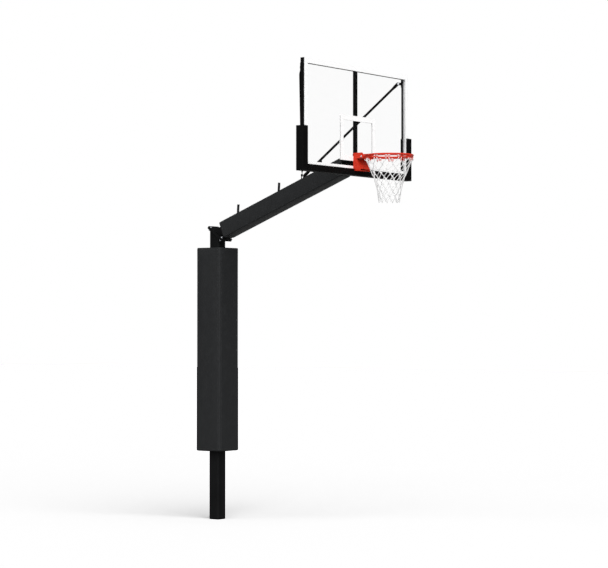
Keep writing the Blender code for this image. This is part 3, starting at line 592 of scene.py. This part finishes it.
def puff(piece, held, seams, count, cap, pressure=0.4, frames=14):
    # Cloth with pressure swells the walls; the inner wall and the sewn corners hold
    mesh = piece.data
    rest = [v.co.copy() for v in mesh.vertices]
    group = piece.vertex_groups.new(name="hold")
    for index, flag in enumerate(held):
        if flag:
            group.add([index], 1.0, "REPLACE")
        elif index % count in seams:
            group.add([index], 0.75, "REPLACE")
    cloth = piece.modifiers.new("Cloth", "CLOTH")
    cloth.settings.quality = 5
    cloth.settings.mass = 0.4
    cloth.settings.tension_stiffness = 25
    cloth.settings.compression_stiffness = 25
    cloth.settings.bending_stiffness = 1.5
    cloth.settings.vertex_group_mass = "hold"
    cloth.settings.use_pressure = True
    cloth.settings.uniform_pressure_force = pressure
    cloth.settings.effector_weights.gravity = 0
    scene = bpy.context.scene
    cloth.point_cache.frame_start = 1
    cloth.point_cache.frame_end = frames
    for moment in range(1, frames + 1):
        scene.frame_set(moment)
    graph = bpy.context.evaluated_depsgraph_get()
    swollen = piece.evaluated_get(graph).to_mesh()
    moved = [v.co.copy() for v in swollen.vertices]
    piece.evaluated_get(graph).to_mesh_clear()
    piece.modifiers.remove(cloth)
    scene.frame_set(1)
    largest = 0
    capped = 0
    for vertex, before, after in zip(mesh.vertices, rest, moved):
        step = after - before
        largest = max(largest, step.length)
        if step.length > cap:
            step *= cap / step.length
            capped += 1
        vertex.co = before + step
    print("puffed", piece.name, "most", round(largest * 1000, 1), "mm,", capped, "of", len(rest),
          "points at the cap")
    return piece


def cutBox(piece, low, high):
    shape = bmesh.new()
    bmesh.ops.create_cube(shape, size=1.0)
    for vertex in shape.verts:
        vertex.co = Vector(low[i] if vertex.co[i] < 0 else high[i] for i in range(3))
    mesh = bpy.data.meshes.new("cutter")
    shape.to_mesh(mesh)
    shape.free()
    cutter = bpy.data.objects.new("cutter", mesh)
    bpy.context.collection.objects.link(cutter)
    added = piece.modifiers.new("Cut", "BOOLEAN")
    added.object = cutter
    added.operation = "DIFFERENCE"
    bpy.context.view_layer.update()
    graph = bpy.context.evaluated_depsgraph_get()
    result = bpy.data.meshes.new_from_object(piece.evaluated_get(graph), depsgraph=graph)
    piece.modifiers.clear()
    piece.data = result
    bpy.data.objects.remove(cutter, do_unlink=True)


polePad = {"corner": 0.026, "across": 12, "arc": 4, "rows": 70, "flap": 0.075, "wall": 0.0652, "hem": 0.022,
           "shrink": 0.0025}


def makePolePad():
    low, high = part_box("pole_pad")
    side = high.x - low.x - 2 * polePad["shrink"]
    outer, seams = roundedSquare(side, polePad["corner"], polePad["across"], polePad["arc"])
    inner, _ = roundedSquare(2 * polePad["wall"], 0.0216, polePad["across"], polePad["arc"])

    def spot(point, t):
        return Vector((point.x, point.y, low.z + (high.z - low.z) * t))

    shape, held = padShell(outer, inner, spot, polePad["rows"], 0.004)
    pad = meshObject("polePadCover", shape, padGrey, "stand", ["pole_pad"], 80)
    puff(pad, held, set(seams), len(outer), 0.006, pressure=0.1)
    subdivide(pad)
    return side / 2, low.z, high.z


padHalf, padLow, padHigh = makePolePad()


def slab(corners, thick, normal):
    # a thin plate between four corners and the same corners moved along the normal
    shape = bmesh.new()
    low = [shape.verts.new(c) for c in corners]
    high = [shape.verts.new(Vector(c) + normal * thick) for c in corners]
    shape.faces.new(low)
    shape.faces.new(high)
    for i in range(4):
        j = (i + 1) % 4
        shape.faces.new((low[i], low[j], high[j], high[i]))
    return shape


def makeFlap():
    # the cover's overlap down the back, closed with hook-and-loop, and its two stitch rows
    y = padHalf + 0.002
    wide = polePad["flap"] / 2
    z0, z1 = padLow + 0.012, padHigh - 0.012
    shape = slab([(-wide, y, z0), (wide, y, z0), (wide, y, z1), (-wide, y, z1)], 0.0032, Vector((0, 1, 0)))
    bmesh.ops.subdivide_edges(shape, edges=[e for e in shape.edges if e.calc_length() > 1], cuts=40)
    flap = meshObject("polePadFlap", shape, padGrey, "stand")
    added = flap.modifiers.new("Bevel", "BEVEL")
    added.width = 0.001
    added.segments = 2
    lines = []
    for x in (-wide + 0.006, -wide + 0.028, wide - 0.006):
        lines.append(([Vector((x, y + 0.0036, z0 + 0.006)), Vector((x, y + 0.0036, z1 - 0.006))], False))
    stampRow("polePadFlapStitches", lines, 0.0055, 0.0036, 0.0010, seamThread, "stand")


makeFlap()


def squareCorners(half, corner, inset):
    # the points beside each rounded corner, on both of its faces, where the seam's stitches run
    near = half - corner - inset
    spots = []
    for sx in (-1, 1):
        for sy in (-1, 1):
            spots.append((sx * near, sy * half))
            spots.append((sx * half, sy * near))
    return spots


def polePadStitches():
    spots = squareCorners(padHalf + 0.0016, polePad["corner"], 0.002)
    lines = [([Vector((x, y, padLow + 0.02)), Vector((x, y, padHigh - 0.02))], False) for x, y in spots]
    around, _ = roundedSquare(2 * (padHalf + 0.0014), polePad["corner"], 10, 6)
    for z in (padLow + polePad["hem"], padHigh - polePad["hem"]):
        lines.append(([Vector((p.x, p.y, z)) for p in around], True))
    stampRow("polePadStitches", lines, 0.0060, 0.0040, 0.0011, seamThread, "stand")


polePadStitches()
print("pole pad")

armPad = {"axis": 2.3009, "slope": math.radians(21.15), "start": 0.117, "end": 1.672, "side": 0.180,
          "corner": 0.014, "tube": 0.1046, "across": 8, "arc": 4, "rows": 56, "shrink": 0.0022,
          "lug": {"half": 0.045, "reach": 1.138, "along": 0.050, "deep": 0.030}}


def armSpot(x, up, reach, square):
    # a point of the arm's section at a reach; square is 1 for a cut square to the arm and 0 for an upright cut
    sin, cos = math.sin(armPad["slope"]), math.cos(armPad["slope"])
    axis = armPad["axis"] + math.tan(armPad["slope"]) * reach
    level = up * sin * square
    return Vector((x, -(reach - level), axis + up / cos - level * math.tan(armPad["slope"])))


def armPlace(point, t):
    return armSpot(point.x, point.y, armPad["start"], 1).lerp(armSpot(point.x, point.y, armPad["end"], 0), t)


def makeArmPad():
    side = armPad["side"] - 2 * armPad["shrink"]
    outer, seams = roundedSquare(side, armPad["corner"], armPad["across"], armPad["arc"])
    inner, _ = roundedSquare(armPad["tube"], 0.0155, armPad["across"], armPad["arc"])
    shape, held = padShell(outer, inner, armPlace, armPad["rows"], 0.004)
    cover = meshObject("armPadCover", shape, padGrey, "stand", ["arm_pad"], 80)
    puff(cover, held, set(seams), len(outer), 0.005)
    subdivide(cover)
    lug = armPad["lug"]  # the cover is cut round the lug that holds the braces
    floorOfSlot = armSpot(0, 0, lug["reach"], 0).z + lug["deep"]
    cutBox(cover, (-lug["half"], -lug["reach"] - lug["along"], floorOfSlot),
           (lug["half"], -lug["reach"] + lug["along"], 4))
    half = side / 2 + 0.0014
    spots = squareCorners(half, armPad["corner"], 0.001)
    lines = [([armPlace(Vector(p), 0.012), armPlace(Vector(p), 0.988)], False) for p in spots]
    around, _ = roundedSquare(2 * half, armPad["corner"], 8, 6)
    for t in (0.014, 0.986):
        lines.append(([armPlace(p, t) for p in around], True))
    stampRow("armPadStitches", lines, 0.0058, 0.0038, 0.0010, seamThread, "stand")


makeArmPad()

tab = {"cuts": 10, "lean": 0.004, "box": 0.013}


def makeTabs():
    # strap tails that stand up out of the pad's top seam, each folded double with box stitching
    for number in (1, 2, 3):
        low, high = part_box(f"arm_pad_tab_{number}")
        shape = bmesh.new()
        bmesh.ops.create_grid(shape, x_segments=6, y_segments=tab["cuts"], size=0.5)
        for vertex in shape.verts:
            across, up = vertex.co.x, vertex.co.y + 0.5
            cup = 0.0015 * math.sin(math.pi * (across + 0.5))
            sway = tab["lean"] * math.sin(up * 2.6 + number) - tab["lean"] * 0.4
            vertex.co = Vector((across * (high.x - low.x - 0.004), (low.y + high.y) / 2 + cup + sway,
                                low.z - 0.004 + up * (high.z - low.z - 0.001)))
        piece = meshObject(f"armPadTab{number}", shape, padGrey, "stand",
                           [f"arm_pad_tab_{number}"], 60)
        thick = piece.modifiers.new("Solidify", "SOLIDIFY")
        thick.thickness = 0.0075
        thick.offset = 0
        edge = piece.modifiers.new("Bevel", "BEVEL")
        edge.width = 0.0022
        edge.segments = 3
        edge.limit_method = "ANGLE"
        middle = (low.y + high.y) / 2
        lines = []
        for face in (-1, 1):
            y = middle + face * 0.0046
            box = [(-tab["box"], low.z + 0.02), (tab["box"], low.z + 0.02),
                   (tab["box"], high.z - 0.014), (-tab["box"], high.z - 0.014)]
            lines.append(([Vector((x, y, z)) for x, z in box], True))
        stampRow(f"armPadTab{number}Stitches", lines, 0.0050, 0.0032, 0.0014, seamThread, "stand")


makeTabs()
print("arm pad")

edge = {"lipSide": 0.034, "lipLow": 0.022, "round": 0.006, "crown": 0.0022, "legs": 16, "foot": 80}


def makeEdgePad():
    # a moulded channel down one side of the board, along its foot and up the other side, mitred at the corners
    low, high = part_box("board_edge_pad")
    glassLow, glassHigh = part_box("glass_panel")
    front, back = low.y, high.y
    boardFront, boardBack = glassLow.y - 0.0003, glassLow.y + 0.0503
    half, foot = glassHigh.x, glassLow.z
    side, below = high.x - half, foot - low.z
    # each point of the section is a share of the lip (below 0) or of the outer wall (above 0), and a depth
    section = [(-1.0, front), (-1.0, boardFront), (0.006, boardFront), (0.006, boardBack),
               (-0.9, boardBack), (-0.9, back)]
    section += [(-0.3 + 1.1 * k / 4, back + edge["crown"] * (0.0, 0.2, 0.3, 0.2, 0.0)[k]) for k in range(5)]
    section += [(1.0 - 0.04 * (k in (0, 6)), back + (front - back) * k / 6) for k in range(7)]
    section += [(0.5, front - 0.0004), (0.0, front - 0.0006), (-0.5, front - 0.0004)]

    def offset(share, lip, wall):
        return share * (wall if share > 0 else lip)

    def ring(shape, x, z, sideways, downwards):
        loop = []
        for share, y in section:
            out = offset(share, edge["lipSide"], side) * sideways
            down = offset(share, edge["lipLow"], below) * downwards
            loop.append(shape.verts.new((x - out, y, z - down)))
        return loop

    shape = bmesh.new()
    loops = []
    drop = high.z - foot - edge["lipLow"]
    for k in range(edge["legs"] + 1):
        loops.append(ring(shape, -half, high.z - drop * k / edge["legs"], 1, 0))
    loops.append(ring(shape, -half, foot, 1, 1))
    inner = half - edge["lipSide"]
    for k in range(edge["foot"] + 1):
        loops.append(ring(shape, -inner + 2 * inner * k / edge["foot"], foot, 0, 1))
    loops.append(ring(shape, half, foot, -1, 1))
    for k in range(edge["legs"] + 1):
        loops.append(ring(shape, half, foot + edge["lipLow"] + drop * k / edge["legs"], -1, 0))
    for a, b in zip(loops, loops[1:]):
        for i in range(len(section)):
            j = (i + 1) % len(section)
            shape.faces.new((a[i], a[j], b[j], b[i]))
    shape.faces.new(loops[0])
    shape.faces.new(loops[-1])
    return shape


def finishEdgePad():
    moulded = meshObject("boardEdgePad", makeEdgePad(), edgeBlack, "stand", ["board_edge_pad"], 40)
    bracketLow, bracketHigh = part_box("rim_bracket")
    cutBox(moulded, (bracketLow.x - 0.0015, -3, bracketLow.z - 0.0015), (bracketHigh.x + 0.0015, -1.825, 4))
    channelLow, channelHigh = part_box("cross_channel")
    cutBox(moulded, (channelLow.x - 0.002, -1.782, channelLow.z - 0.002), (channelHigh.x + 0.002, -1, 4))
    added = moulded.modifiers.new("Bevel", "BEVEL")
    added.width = edge["round"]
    added.segments = 3
    added.limit_method = "ANGLE"
    added.angle_limit = math.radians(50)


finishEdgePad()
print("edge pad")


rim = {"inside": 0.2286, "rod": 0.009, "hooks": 12, "wire": 0.004, "hookLow": 2.9978,
       "dip": 0.0150, "bend": 0.0066, "shoulder": 0.0060}
ringLow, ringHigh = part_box("rim_ring")
ringCentre = Vector(((ringLow.x + ringHigh.x) / 2, (ringLow.y + ringHigh.y) / 2, (ringLow.z + ringHigh.z) / 2))
ringRadius = rim["inside"] + rim["rod"]


def ringCircle(radius, z, steps):
    points = []
    for k in range(steps):
        angle = 2 * math.pi * k / steps
        points.append(Vector((ringCentre.x + radius * math.cos(angle),
                              ringCentre.y + radius * math.sin(angle), z)))
    return points


def hookOutline():
    # the wire's middle line over one hook, as places along the ring and heights, with its two dips
    high = ringCentre.z - rim["rod"] - rim["wire"] - 0.0003
    low = rim["hookLow"]
    dip, bend, shoulder = rim["dip"], rim["bend"], rim["shoulder"]
    crest = dip - bend
    half = [(crest * math.sin(a), high - crest + crest * math.cos(a)) for a in turns(0, 90, 5)]
    half += [(dip - bend * math.cos(a), low + bend - bend * math.sin(a)) for a in turns(0, 180, 9)]
    half += [(dip + bend + shoulder - shoulder * math.cos(a), high - shoulder + shoulder * math.sin(a))
             for a in turns(0, 90, 4)]
    edgeOfHook = dip + bend + shoulder
    between = math.pi * ringRadius / rim["hooks"] - edgeOfHook
    half += [(edgeOfHook + between * k / 4, high) for k in range(1, 4)]
    return [(-along, z) for along, z in reversed(half[1:])] + half


def turns(first, last, count):
    return [math.radians(first + (last - first) * k / (count - 1)) for k in range(count)]


def makeRing():
    rope("rimRing", [(ringCircle(ringRadius, ringCentre.z, 160), True)], rim["rod"], 0.008, rimRed, "rim",
         sides=24, replaced=["rim_ring"])
    points = []
    for number in range(rim["hooks"]):
        middle = 2 * math.pi * number / rim["hooks"]
        for along, z in hookOutline():
            angle = middle + along / ringRadius
            points.append(Vector((ringCentre.x + ringRadius * math.cos(angle),
                                  ringCentre.y + ringRadius * math.sin(angle), z)))
    rope("netHookWire", [(points, True)], rim["wire"], 0.003, rimRed, "rim", sides=10,
         replaced=["net_hook_wire"])


makeRing()

spring = {"turns": 12, "wire": 0.0014, "steps": 16}


def makeSprings():
    for number in (1, 2):
        low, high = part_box(f"rim_spring_{number}")
        centre = (low + high) / 2
        radius = (high.x - low.x) / 2 - spring["wire"]
        total = spring["turns"] * spring["steps"]
        points = []
        for k in range(total + 1):
            angle = 2 * math.pi * k / spring["steps"]
            rise = low.z + spring["wire"] + (high.z - low.z - 2 * spring["wire"]) * k / total
            points.append(Vector((centre.x + radius * math.cos(angle),
                                  centre.y + radius * math.sin(angle), rise)))
        coil = rope(f"rimSpring{number}", [(points, False)], spring["wire"], 0.002, springSteel, None,
                    sides=8, replaced=[f"rim_spring_{number}"])
        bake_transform(coil)


makeSprings()

net = {"columns": 12, "radius": 0.0032, "knot": 0.0021,
       "outline": ((3.000, 0.2376), (2.93, 0.206), (2.87, 0.181),
       (2.80, 0.153), (2.745, 0.1355), (2.66, 0.119), (2.572, 0.1085))}


def netRadius(z):
    outline = net["outline"]
    for (z0, r0), (z1, r1) in zip(outline, outline[1:]):
        if z >= z1:
            return r0 + (r1 - r0) * (z0 - z) / (z0 - z1)
    return outline[-1][1]


def netPoint(column, z, out=0.0):
    # a place on the net about the ring's axis, with the column counted in twelfths of a turn
    angle = 2 * math.pi * column / net["columns"]
    radius = netRadius(z) - net["radius"] - 0.0012 + out
    return Vector((radius * math.cos(angle), radius * math.sin(angle), z - ringCentre.z))


rowHeights = [2.9915, 2.936, 2.874, 2.812, 2.752, 2.692, 2.634, 2.574]


def makeNet():
    # two families of cords lean opposite ways and are tied where they cross; each hook holds one loop of both
    hang = rim["dip"] / ringRadius * net["columns"] / (2 * math.pi)
    lines = []
    for way in (1, -1):
        points = []
        for row, (high, low) in enumerate(zip(rowHeights, rowHeights[1:])):
            for k in range(8):
                share = k / 8
                ease = share * share * (3 - 2 * share)
                column = way * 0.5 * (row + 0.35 * share + 0.65 * ease)
                if row == 0:  # the two cords of a hook start from its two dips
                    column += way * hang * (1 - share)
                bow = 0.0022 * math.sin(math.pi * share)
                lift = way * 0.0014
                points.append(netPoint(column, high + (low - high) * share,
                                       lift * math.cos(math.pi * share) + bow))
        points.append(netPoint(way * 0.5 * (len(rowHeights) - 1), rowHeights[-1]))
        lines.append((points, False))
    rope("netCords", lines, net["radius"], 0.005, netWhite, "rim", copies=net["columns"],
         centre=ringCentre, sides=8, replaced=["net"])
    loops = []
    around = rim["wire"] + net["radius"] + 0.0003
    for way in (1, -1):
        points = []
        for angle in turns(-110, 250, 17):
            middle = way * hang * 2 * math.pi / net["columns"]
            out = ringRadius + around * math.cos(angle)
            points.append(Vector((out * math.cos(middle), out * math.sin(middle),
                                  rim["hookLow"] - ringCentre.z + around * math.sin(angle))))
        loops.append((points, False))
    rope("netLoops", loops, net["radius"], 0.003, netWhite, "rim", copies=net["columns"],
         centre=ringCentre, sides=8)


def makeKnots():
    # a double wrap of cord round each crossing
    lines = []
    for row in range(1, len(rowHeights)):
        z = rowHeights[row]
        column = 0.5 * (row % 2)
        here = netPoint(column, z)
        bearing = 2 * math.pi * column / net["columns"]
        radial = Vector((math.cos(bearing), math.sin(bearing), 0))
        across = Vector((0, 0, 1)).cross(radial)
        points = []
        for k in range(25):
            angle = 4 * math.pi * k / 24
            points.append(here + radial * (0.0046 * math.cos(angle)) + across * (0.0052 * math.sin(angle))
                          + Vector((0, 0, 0.0042 * (k / 24 - 0.5) * 2)))
        lines.append((points, False))
    rope("netKnots", lines, net["knot"], 0.0025, netWhite, "rim", copies=net["columns"],
         centre=ringCentre, sides=7)


makeNet()
makeKnots()
print("rim and net")


weld = {"step": 0.0030, "long": 0.0062, "wide": 0.0062}


def frameSquare(side, corner, place):
    points, _ = roundedSquare(side, corner, 6, 4)
    return [place(p) for p in points]


joint = {"reach": 0.028, "height": 2.312, "slope": math.radians(37), "plate": 0.0127}


def makeWelds():
    slope = math.tan(joint["slope"])
    drop = joint["plate"] / math.cos(joint["slope"])

    def onPole(point):
        return Vector((point.x, point.y, joint["height"] + (point.y + joint["reach"]) * slope - drop - 0.0005))

    def onArm(point):
        sin, cos = math.sin(armPad["slope"]), math.cos(armPad["slope"])
        base = joint["height"] + (joint["plate"] + 0.0008) / math.cos(joint["slope"]) + slope * joint["reach"]
        # the arm line through this section point meets the plate's top: height = base - slope * reach
        rise = math.tan(armPad["slope"])
        start = armPad["axis"] + point.y / cos
        reach = (base - start) / (rise + slope)
        return Vector((point.x, -reach, start + rise * reach))

    def onHead(point):
        return armSpot(point.x, point.y, 1.7135, 0)

    lines = [(frameSquare(0.1276, 0.020, onPole), True), (frameSquare(0.1026, 0.0145, onArm), True),
             (frameSquare(0.1026, 0.0145, onHead), True)]
    stampRow("frameWelds", lines, weld["step"], weld["long"], weld["wide"], poleBlack, "stand")
    arc = []
    reach = ringRadius + rim["rod"] * 0.85
    for k in range(17):
        angle = math.radians(90) + (k / 16 - 0.5) * 2 * math.asin(0.066 / reach)
        arc.append(Vector((ringCentre.x + reach * math.cos(angle), ringCentre.y + reach * math.sin(angle),
                           ringCentre.z + 0.0035)))
    lines = [(arc, False), ([Vector((p.x, p.y, ringCentre.z - 0.0035)) for p in arc], False)]
    stampRow("ringWelds", lines, 0.0022, 0.0045, 0.0050, rimRed, "rim")


makeWelds()

thread = {"pitch": 0.0016, "steps": 12}


def helix(start, direction, radius, length):
    along = Vector(direction).normalized()
    side = along.orthogonal().normalized()
    other = along.cross(side)
    total = int(length / thread["pitch"] * thread["steps"])
    points = []
    for k in range(total + 1):
        angle = 2 * math.pi * k / thread["steps"]
        points.append(Vector(start) + along * (thread["pitch"] * k / thread["steps"])
                      + radius * (math.cos(angle) * side + math.sin(angle) * other))
    return points


def makeThreads():
    up = Vector((0, -math.sin(joint["slope"]), math.cos(joint["slope"])))
    rear = Vector((0, math.cos(joint["slope"]), math.sin(joint["slope"])))
    origin = Vector((0, -joint["reach"], joint["height"]))
    lines = []
    for y in (-0.101, 0.084):
        for x in (-0.076, 0.076):
            start = origin + Vector((x, 0, 0)) + rear * y + up * (joint["plate"] + 0.0105)
            lines.append((helix(start, up, 0.0070, 0.0035), False))
    low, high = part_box("rim_pivot_bolt")
    y, z = -1.929, ringCentre.z
    lines.append((helix((high.x - 0.0045, y, z), (1, 0, 0), 0.0060, 0.0038), False))
    rope("boltThreads", lines, 0.00055, 0.0012, threadSteel, "stand", sides=5)


makeThreads()
print("welds and threads")


studio = {"eye": (-16.955, -13.664, 1.343), "forward": (0.8045, 0.5940), "pitch": 1.139, "lens": 120.84,
          "floor": 60.0, "room": 0.15,
          "lamps": {"key": ((-0.45, -0.80, 0.9), 3.0, 60), "low": ((-0.80, -0.62, -0.12), 2.5, 90),
                    "fill": ((-1.0, 0.3, 0.6), 1.0, 60)}}


def makeStage():
    shape = bmesh.new()
    bmesh.ops.create_grid(shape, x_segments=1, y_segments=1, size=studio["floor"])
    mesh = bpy.data.meshes.new("floor")
    shape.to_mesh(mesh)
    shape.free()
    floor = bpy.data.objects.new("floor", mesh)
    floor.location.z = cadBox[0][2] - 0.001
    bpy.context.collection.objects.link(floor)
    look = Finish("paleFloor")
    mottle = look.noise(3.0, 4.0)
    mesh.materials.append(look.done(0.1, Base_Color=look.blend(mottle, (0.36, 0.36, 0.36), (0.38, 0.38, 0.38)),
                                    Roughness=0.9))
    floor.is_shadow_catcher = True  # only the soft shadow shows on the white paper
    world = bpy.data.worlds.new("studio")
    world.use_nodes = True
    paper = world.node_tree
    sky = paper.nodes["Background"]
    sky.inputs["Color"].default_value = (1, 1, 1, 1)
    sky.inputs["Strength"].default_value = studio["room"]
    white = paper.nodes.new("ShaderNodeBackground")
    white.inputs["Color"].default_value = (1, 1, 1, 1)
    seen = paper.nodes.new("ShaderNodeLightPath")
    mixed = paper.nodes.new("ShaderNodeMixShader")
    paper.links.new(seen.outputs["Is Camera Ray"], mixed.inputs[0])
    paper.links.new(sky.outputs[0], mixed.inputs[1])
    paper.links.new(white.outputs[0], mixed.inputs[2])
    paper.links.new(mixed.outputs[0], paper.nodes["World Output"].inputs["Surface"])
    bpy.context.scene.world = world
    for name, (bearing, strength, angle) in studio["lamps"].items():
        lamp = bpy.data.lights.new(name, "SUN")
        lamp.energy = strength
        lamp.angle = math.radians(angle)
        light = bpy.data.objects.new(name, lamp)
        light.rotation_euler = Vector(bearing).to_track_quat("Z", "Y").to_euler()
        bpy.context.collection.objects.link(light)
    bpy.context.scene.view_settings.view_transform = "Standard"


def makeCamera():
    lens = bpy.data.cameras.new("camera")
    lens.lens = studio["lens"]
    lens.sensor_width = 36.0
    lens.clip_end = 200.0
    camera = bpy.data.objects.new("camera", lens)
    bpy.context.collection.objects.link(camera)
    camera.location = studio["eye"]
    pitch = math.radians(studio["pitch"])
    east, north = studio["forward"]
    forward = Vector((east * math.cos(pitch), north * math.cos(pitch), math.sin(pitch)))
    camera.rotation_euler = forward.to_track_quat("-Z", "Y").to_euler()
    bpy.context.scene.camera = camera


makeStage()
makeCamera()
print("stage")
